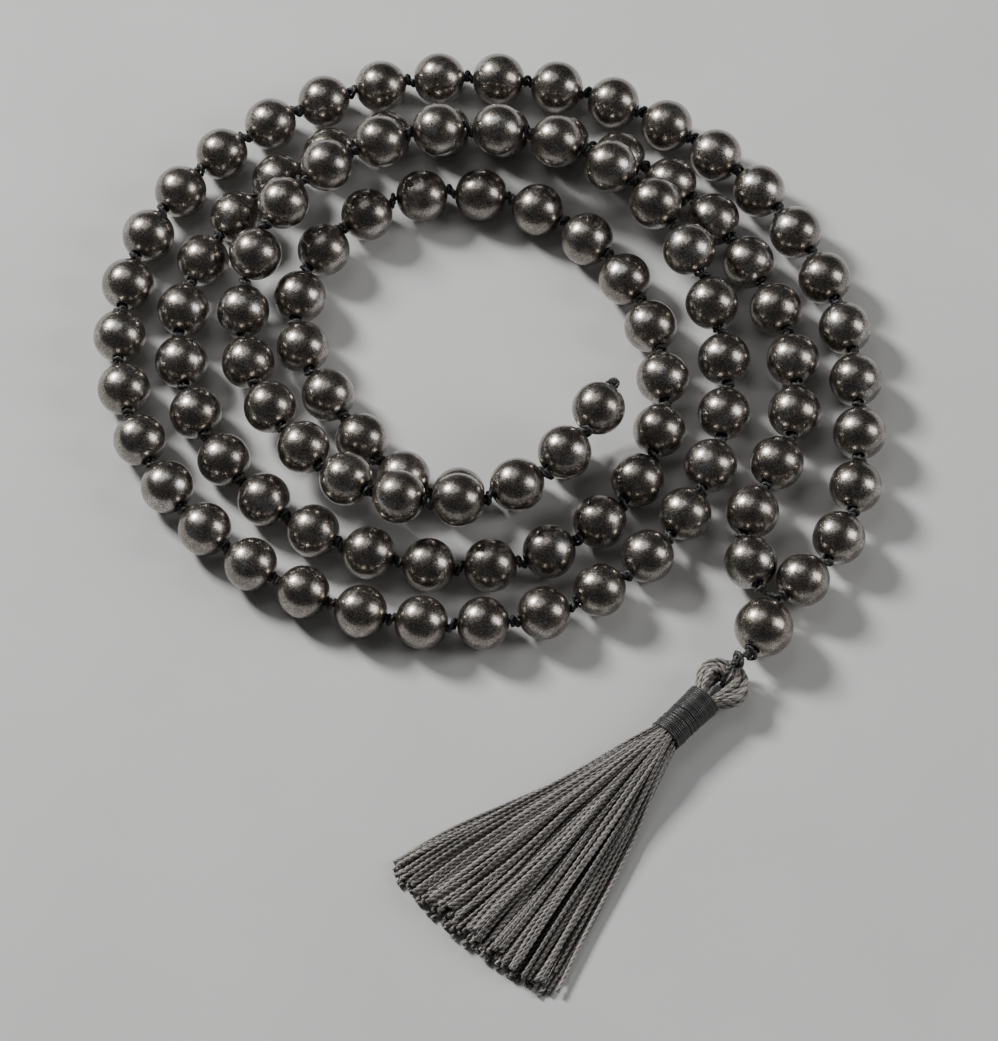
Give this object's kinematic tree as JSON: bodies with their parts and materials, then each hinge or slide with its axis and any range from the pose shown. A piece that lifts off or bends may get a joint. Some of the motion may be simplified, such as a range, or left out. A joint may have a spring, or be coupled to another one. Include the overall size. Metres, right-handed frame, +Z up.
{
  "type": "mala prayer beads",
  "caption": "Coiled strand of round dark stone beads knotted on a cord, with a guru bead and a yarn tassel.",
  "frame": {"origin": "on the table, under the middle of the whole piece as it lies coiled", "axes": "+Z up from the table, +Y from the tassel's end towards the far side of the coil, +X to the right"},
  "size_m": [0.1191, 0.1565, 0.0155],
  "materials": {
    "bead_stone": "polished",
    "guru_stone": "polished",
    "cord": "satin",
    "yarn": "satin",
    "wrap_thread": "satin"
  },
  "bodies": {
    "root": {"knotted_cord": "cord", "beads_quarter_1": "bead_stone", "beads_quarter_2": "bead_stone", "beads_quarter_3": "bead_stone", "beads_quarter_4": "bead_stone"},
    "guru_bead": {"guru_bead": "guru_stone"},
    "tassel_hanger": {"tassel_hanger": "cord"},
    "tassel": {"tassel_head": "yarn", "tassel_bound_yarn": "yarn", "tassel_neck_wrap": "wrap_thread", "tassel_skirt": "yarn"},
    "bead_001": {"bead_001": "bead_stone"},
    "bead_003": {"bead_003": "bead_stone"},
    "bead_005": {"bead_005": "bead_stone"},
    "bead_007": {"bead_007": "bead_stone"},
    "bead_010": {"bead_010": "bead_stone"},
    "bead_012": {"bead_012": "bead_stone"},
    "bead_014": {"bead_014": "bead_stone"},
    "bead_016": {"bead_016": "bead_stone"},
    "bead_019": {"bead_019": "bead_stone"},
    "bead_021": {"bead_021": "bead_stone"},
    "bead_023": {"bead_023": "bead_stone"},
    "bead_025": {"bead_025": "bead_stone"},
    "bead_028": {"bead_028": "bead_stone"},
    "bead_030": {"bead_030": "bead_stone"},
    "bead_032": {"bead_032": "bead_stone"},
    "bead_034": {"bead_034": "bead_stone"},
    "bead_037": {"bead_037": "bead_stone"},
    "bead_039": {"bead_039": "bead_stone"},
    "bead_041": {"bead_041": "bead_stone"},
    "bead_043": {"bead_043": "bead_stone"},
    "bead_046": {"bead_046": "bead_stone"},
    "bead_048": {"bead_048": "bead_stone"},
    "bead_050": {"bead_050": "bead_stone"},
    "bead_052": {"bead_052": "bead_stone"},
    "bead_055": {"bead_055": "bead_stone"},
    "bead_057": {"bead_057": "bead_stone"},
    "bead_059": {"bead_059": "bead_stone"},
    "bead_061": {"bead_061": "bead_stone"},
    "bead_064": {"bead_064": "bead_stone"},
    "bead_066": {"bead_066": "bead_stone"},
    "bead_068": {"bead_068": "bead_stone"},
    "bead_070": {"bead_070": "bead_stone"},
    "bead_073": {"bead_073": "bead_stone"},
    "bead_075": {"bead_075": "bead_stone"},
    "bead_077": {"bead_077": "bead_stone"},
    "bead_079": {"bead_079": "bead_stone"},
    "bead_082": {"bead_082": "bead_stone"},
    "bead_084": {"bead_084": "bead_stone"},
    "bead_086": {"bead_086": "bead_stone"},
    "bead_088": {"bead_088": "bead_stone"},
    "bead_091": {"bead_091": "bead_stone"},
    "bead_093": {"bead_093": "bead_stone"},
    "bead_095": {"bead_095": "bead_stone"},
    "bead_097": {"bead_097": "bead_stone"},
    "bead_100": {"bead_100": "bead_stone"},
    "bead_102": {"bead_102": "bead_stone"},
    "bead_104": {"bead_104": "bead_stone"},
    "bead_106": {"bead_106": "bead_stone"}
  },
  "joints": [
    {"name": "guru_turn", "type": "hinge", "parent": "root", "child": "guru_bead", "pos_m": [0.0407, -0.0211, 0.0045], "axis": [-0.4472, -0.8944, 0], "continuous": true},
    {"name": "tassel_swing", "type": "hinge", "parent": "root", "child": "tassel_hanger", "pos_m": [0.03862, -0.02526, 0.0045], "axis": [0, 0, 1], "range_deg": [-25, 70]},
    {"name": "tassel_lift", "type": "hinge", "parent": "tassel_hanger", "child": "tassel", "pos_m": [0.03591, -0.02806, 0.0032], "axis": [-0.7193, 0.6947, 0], "range_deg": [0, 78]},
    {"name": "turn_bead_001", "type": "hinge", "parent": "root", "child": "bead_001", "pos_m": [0.04665, -0.0131, 0.0043], "axis": [0.754, 0.6554, -0.0427], "continuous": true},
    {"name": "turn_bead_003", "type": "hinge", "parent": "root", "child": "bead_003", "pos_m": [0.05483, 0.00264, 0.004], "axis": [0.1573, 0.9875, 0], "continuous": true},
    {"name": "turn_bead_005", "type": "hinge", "parent": "root", "child": "bead_005", "pos_m": [0.05533, 0.02087, 0.004], "axis": [-0.0803, 0.9968, 0], "continuous": true},
    {"name": "turn_bead_007", "type": "hinge", "parent": "root", "child": "bead_007", "pos_m": [0.05104, 0.03854, 0.004], "axis": [-0.3865, 0.9223, 0], "continuous": true},
    {"name": "turn_bead_010", "type": "hinge", "parent": "root", "child": "bead_010", "pos_m": [0.0349, 0.06035, 0.004], "axis": [-0.7677, 0.6408, 0], "continuous": true},
    {"name": "turn_bead_012", "type": "hinge", "parent": "root", "child": "bead_012", "pos_m": [0.01933, 0.06976, 0.004], "axis": [-0.9254, 0.379, 0], "continuous": true},
    {"name": "turn_bead_014", "type": "hinge", "parent": "root", "child": "bead_014", "pos_m": [0.00163, 0.074, 0.004], "axis": [-0.9965, 0.084, 0], "continuous": true},
    {"name": "turn_bead_016", "type": "hinge", "parent": "root", "child": "bead_016", "pos_m": [-0.01651, 0.07271, 0.004], "axis": [-0.975, -0.2223, 0], "continuous": true},
    {"name": "turn_bead_019", "type": "hinge", "parent": "root", "child": "bead_019", "pos_m": [-0.04072, 0.06052, 0.004], "axis": [-0.7486, -0.6631, 0], "continuous": true},
    {"name": "turn_bead_021", "type": "hinge", "parent": "root", "child": "bead_021", "pos_m": [-0.05163, 0.04607, 0.004], "axis": [-0.4242, -0.9056, 0], "continuous": true},
    {"name": "turn_bead_023", "type": "hinge", "parent": "root", "child": "bead_023", "pos_m": [-0.05554, 0.02841, 0.004], "axis": [-0.003, -1, 0], "continuous": true},
    {"name": "turn_bead_025", "type": "hinge", "parent": "root", "child": "bead_025", "pos_m": [-0.05204, 0.01063, 0.004], "axis": [0.3849, -0.923, 0], "continuous": true},
    {"name": "turn_bead_028", "type": "hinge", "parent": "root", "child": "bead_028", "pos_m": [-0.03504, -0.01037, 0.004], "axis": [0.8152, -0.5791, 0], "continuous": true},
    {"name": "turn_bead_030", "type": "hinge", "parent": "root", "child": "bead_030", "pos_m": [-0.01867, -0.01824, 0.004], "axis": [0.9614, -0.2752, 0], "continuous": true},
    {"name": "turn_bead_032", "type": "hinge", "parent": "root", "child": "bead_032", "pos_m": [-0.00062, -0.02022, 0.004], "axis": [0.9975, 0.0709, 0], "continuous": true},
    {"name": "turn_bead_034", "type": "hinge", "parent": "root", "child": "bead_034", "pos_m": [0.01655, -0.01468, 0.004], "axis": [0.8508, 0.5255, 0], "continuous": true},
    {"name": "turn_bead_037", "type": "hinge", "parent": "root", "child": "bead_037", "pos_m": [0.03331, 0.00625, 0.004], "axis": [0.3339, 0.9426, 0], "continuous": true},
    {"name": "turn_bead_039", "type": "hinge", "parent": "root", "child": "bead_039", "pos_m": [0.03555, 0.02417, 0.00452], "axis": [-0.0922, 0.9891, 0.1147], "continuous": true},
    {"name": "turn_bead_041", "type": "hinge", "parent": "root", "child": "bead_041", "pos_m": [0.03041, 0.04115, 0.00811], "axis": [-0.4539, 0.8735, 0.1761], "continuous": true},
    {"name": "turn_bead_043", "type": "hinge", "parent": "root", "child": "bead_043", "pos_m": [0.01861, 0.05451, 0.01035], "axis": [-0.8377, 0.5231, 0.1566], "continuous": true},
    {"name": "turn_bead_046", "type": "hinge", "parent": "root", "child": "bead_046", "pos_m": [-0.00751, 0.06038, 0.01135], "axis": [-0.9959, -0.0902, -0.0117], "continuous": true},
    {"name": "turn_bead_048", "type": "hinge", "parent": "root", "child": "bead_048", "pos_m": [-0.02447, 0.0544, 0.01093], "axis": [-0.8187, -0.5738, -0.0231], "continuous": true},
    {"name": "turn_bead_050", "type": "hinge", "parent": "root", "child": "bead_050", "pos_m": [-0.03517, 0.04068, 0.00767], "axis": [-0.3242, -0.8408, -0.4335], "continuous": true},
    {"name": "turn_bead_052", "type": "hinge", "parent": "root", "child": "bead_052", "pos_m": [-0.03605, 0.02348, 0.00475], "axis": [0.2651, -0.9537, 0.1421], "continuous": true},
    {"name": "turn_bead_055", "type": "hinge", "parent": "root", "child": "bead_055", "pos_m": [-0.02096, 0.00157, 0.00851], "axis": [0.7809, -0.5777, 0.2375], "continuous": true},
    {"name": "turn_bead_057", "type": "hinge", "parent": "root", "child": "bead_057", "pos_m": [-0.0043, -0.00354, 0.01142], "axis": [0.997, 0.076, 0.0173], "continuous": true},
    {"name": "turn_bead_059", "type": "hinge", "parent": "root", "child": "bead_059", "pos_m": [0.01142, 0.00449, 0.0115], "axis": [0.676, 0.7369, -0.0003], "continuous": true},
    {"name": "turn_bead_061", "type": "hinge", "parent": "root", "child": "bead_061", "pos_m": [0.01158, 0.0084, 0.004], "axis": [-0.6158, -0.7879, 0], "continuous": true},
    {"name": "turn_bead_064", "type": "hinge", "parent": "root", "child": "bead_064", "pos_m": [-0.01252, 0.00425, 0.004], "axis": [-0.8021, 0.5973, 0], "continuous": true},
    {"name": "turn_bead_066", "type": "hinge", "parent": "root", "child": "bead_066", "pos_m": [-0.02397, 0.01829, 0.004], "axis": [-0.5446, 0.8387, 0], "continuous": true},
    {"name": "turn_bead_068", "type": "hinge", "parent": "root", "child": "bead_068", "pos_m": [-0.02843, 0.03533, 0.004], "axis": [0.187, 0.9824, 0], "continuous": true},
    {"name": "turn_bead_070", "type": "hinge", "parent": "root", "child": "bead_070", "pos_m": [-0.01842, 0.04973, 0.004], "axis": [0.847, 0.5316, 0], "continuous": true},
    {"name": "turn_bead_073", "type": "hinge", "parent": "root", "child": "bead_073", "pos_m": [0.0076, 0.05056, 0.004], "axis": [0.8974, -0.4412, 0], "continuous": true},
    {"name": "turn_bead_075", "type": "hinge", "parent": "root", "child": "bead_075", "pos_m": [0.0208, 0.03841, 0.004], "axis": [0.5258, -0.8506, 0], "continuous": true},
    {"name": "turn_bead_077", "type": "hinge", "parent": "root", "child": "bead_077", "pos_m": [0.02631, 0.02123, 0.004], "axis": [0.0719, -0.9974, 0], "continuous": true},
    {"name": "turn_bead_079", "type": "hinge", "parent": "root", "child": "bead_079", "pos_m": [0.0224, 0.00378, 0.004], "axis": [-0.5025, -0.8646, 0], "continuous": true},
    {"name": "turn_bead_082", "type": "hinge", "parent": "root", "child": "bead_082", "pos_m": [0.00041, -0.01056, 0.004], "axis": [-0.9941, -0.1085, 0], "continuous": true},
    {"name": "turn_bead_084", "type": "hinge", "parent": "root", "child": "bead_084", "pos_m": [-0.01756, -0.0085, 0.004], "axis": [-0.9501, 0.3118, 0], "continuous": true},
    {"name": "turn_bead_086", "type": "hinge", "parent": "root", "child": "bead_086", "pos_m": [-0.03328, 0.0005, 0.004], "axis": [-0.7478, 0.6639, 0], "continuous": true},
    {"name": "turn_bead_088", "type": "hinge", "parent": "root", "child": "bead_088", "pos_m": [-0.04376, 0.0152, 0.004], "axis": [-0.3738, 0.9275, 0], "continuous": true},
    {"name": "turn_bead_091", "type": "hinge", "parent": "root", "child": "bead_091", "pos_m": [-0.0432, 0.0416, 0.004], "axis": [0.4593, 0.8883, 0], "continuous": true},
    {"name": "turn_bead_093", "type": "hinge", "parent": "root", "child": "bead_093", "pos_m": [-0.03201, 0.05584, 0.004], "axis": [0.7743, 0.6329, 0], "continuous": true},
    {"name": "turn_bead_095", "type": "hinge", "parent": "root", "child": "bead_095", "pos_m": [-0.01568, 0.06353, 0.004], "axis": [0.9768, 0.2144, 0], "continuous": true},
    {"name": "turn_bead_097", "type": "hinge", "parent": "root", "child": "bead_097", "pos_m": [0.00248, 0.06441, 0.004], "axis": [0.9955, -0.0952, 0], "continuous": true},
    {"name": "turn_bead_100", "type": "hinge", "parent": "root", "child": "bead_100", "pos_m": [0.02788, 0.05524, 0.004], "axis": [0.7914, -0.6113, 0], "continuous": true},
    {"name": "turn_bead_102", "type": "hinge", "parent": "root", "child": "bead_102", "pos_m": [0.03955, 0.04136, 0.004], "axis": [0.5101, -0.8601, 0], "continuous": true},
    {"name": "turn_bead_104", "type": "hinge", "parent": "root", "child": "bead_104", "pos_m": [0.04594, 0.02438, 0.004], "axis": [0.1604, -0.987, 0], "continuous": true},
    {"name": "turn_bead_106", "type": "hinge", "parent": "root", "child": "bead_106", "pos_m": [0.04318, 0.00675, 0.004], "axis": [-0.4565, -0.8897, 0], "continuous": true}
  ]
}
